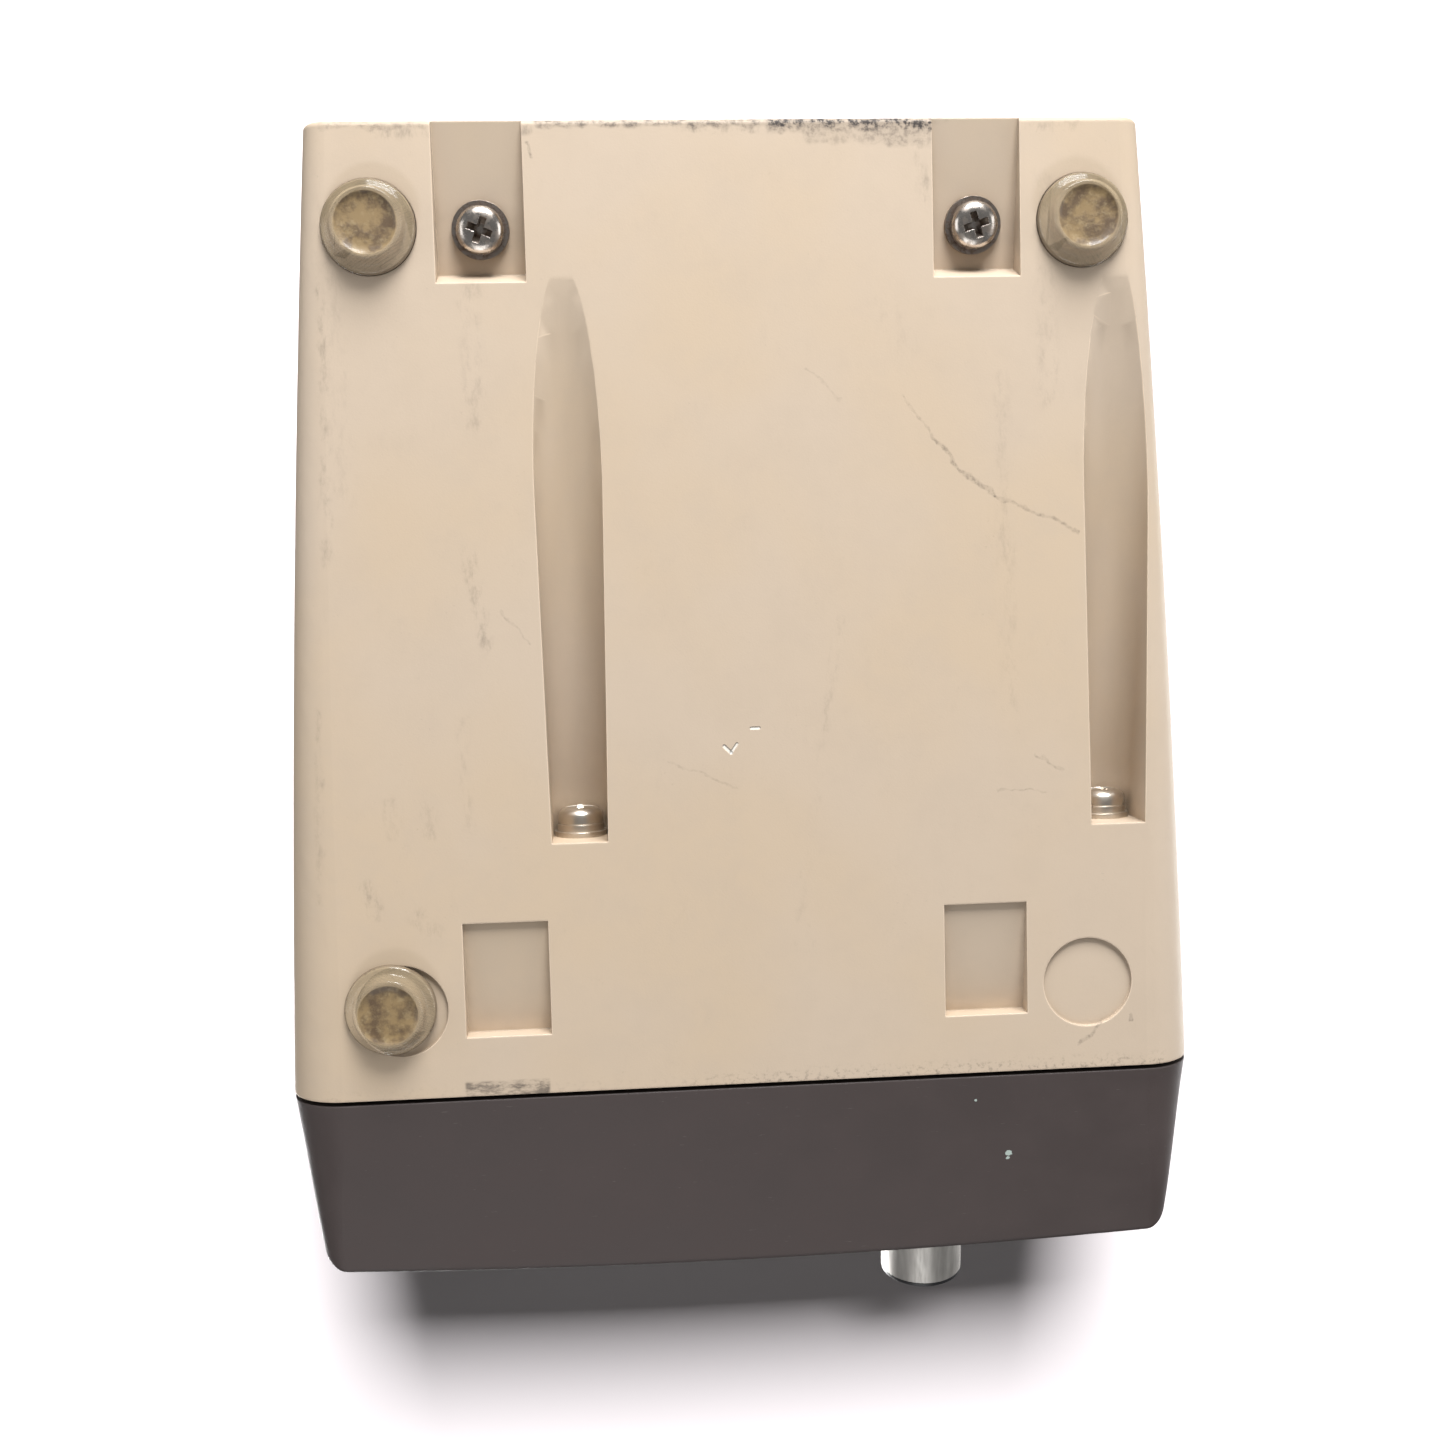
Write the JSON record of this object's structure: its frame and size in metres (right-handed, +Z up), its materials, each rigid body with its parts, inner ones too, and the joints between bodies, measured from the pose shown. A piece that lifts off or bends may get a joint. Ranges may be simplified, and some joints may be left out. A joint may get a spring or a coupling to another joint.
{
  "type": "benchtop control unit",
  "caption": "Benchtop control unit: tapered beige tub housing with screwdriver channels below, leaning dark bezel, knob, rocker, button, socket and a mains inlet.",
  "frame": {"origin": "under the middle of the whole unit, on the plane that the rubber feet stand on", "axes": "+Z up, +Y towards the rear, +X to the right seen from the front; the control panel faces -Y"},
  "size_m": [0.14, 0.1936, 0.0875],
  "materials": {
    "housing_plastic": "moulded beige plastic, fine texture",
    "bezel_plastic": "moulded dark grey plastic",
    "panel_sheet": "painted aluminium sheet",
    "foot_rubber": "clear yellowed rubber",
    "screw_steel": "nickel-plated steel",
    "washer_steel": "plated steel, dull",
    "knob_aluminium": "brushed aluminium",
    "black_plastic": "black moulded plastic",
    "shaft_steel": "turned steel",
    "zinc_sheet": "zinc-plated sheet",
    "core_steel": "varnished laminations",
    "bobbin_plastic": "natural nylon",
    "winding_copper": "enamelled copper under yellow tape",
    "board_laminate": "green circuit board",
    "brass_metal": "nickel-plated brass",
    "chrome_metal": "chrome-plated brass",
    "sink_aluminium": "black anodised aluminium",
    "can_sleeve": "shrink sleeve over aluminium can",
    "relay_plastic": "orange moulded case",
    "header_plastic": "white nylon",
    "fuse_glass": "glass tube with metal ends",
    "window_acrylic": "smoked red acrylic",
    "lamp_lens": "green translucent lens",
    "button_plastic": "light grey cap",
    "spacer_brass": "turned brass"
  },
  "bodies": {
    "unit": {"housing": "housing_plastic", "front_bezel": "bezel_plastic", "front_panel": "panel_sheet", "foot_rear_right": "foot_rubber", "foot_rear_left": "foot_rubber", "foot_front_right": "foot_rubber", "rear_screws": "screw_steel", "rear_washers": "washer_steel", "chassis_nuts": "washer_steel", "taper_washers": "washer_steel", "bezel_flat_washers": "washer_steel", "bezel_spring_washers": "washer_steel", "bezel_screws": "screw_steel", "display_window": "window_acrylic", "display_module": "black_plastic", "control_board": "board_laminate", "board_spacers": "spacer_brass", "potentiometer": "zinc_sheet", "pot_nut": "shaft_steel", "switch_case": "black_plastic", "switch_terminals": "brass_metal", "button_collar": "chrome_metal", "socket_shell": "chrome_metal", "socket_insert": "black_plastic", "socket_contacts": "brass_metal", "socket_nut": "shaft_steel", "lamp_holder": "chrome_metal", "pilot_lamp": "lamp_lens", "chassis": "zinc_sheet", "transformer_core": "core_steel", "transformer_bobbin": "bobbin_plastic", "transformer_windings": "winding_copper", "transformer_strap": "zinc_sheet", "transformer_screws": "screw_steel", "main_board": "board_laminate", "board_standoffs": "spacer_brass", "board_screws": "screw_steel", "large_capacitor": "can_sleeve", "small_capacitor": "can_sleeve", "heatsink": "sink_aluminium", "regulator": "black_plastic", "fuse": "fuse_glass", "fuse_clips": "brass_metal", "rectifier": "black_plastic", "relay": "relay_plastic", "board_header": "header_plastic", "mains_inlet": "black_plastic", "inlet_blades": "brass_metal", "inlet_screws": "screw_steel", "inlet_nuts": "washer_steel"},
    "knob": {"knob_sleeve": "knob_aluminium", "knob_core": "black_plastic", "pot_shaft": "shaft_steel"},
    "rocker": {"power_rocker": "black_plastic"},
    "button": {"start_button": "button_plastic"}
  },
  "joints": [
    {"name": "knob_turn", "type": "hinge", "parent": "unit", "child": "knob", "pos_m": [-0.0321, -0.07602, 0.03554], "axis": [0, -0.989, 0.1478], "range_deg": [-150, 150]},
    {"name": "rocker_tilt", "type": "hinge", "parent": "unit", "child": "rocker", "pos_m": [0.042, -0.06935, 0.03959], "axis": [1, 0, 0], "range_deg": [0, 16]},
    {"name": "button_press", "type": "slide", "parent": "unit", "child": "button", "axis": [0, 0.989, -0.1478], "range_m": [0, 0.0015], "stiffness_N_per_m": 500, "springref_m": -0.002}
  ]
}
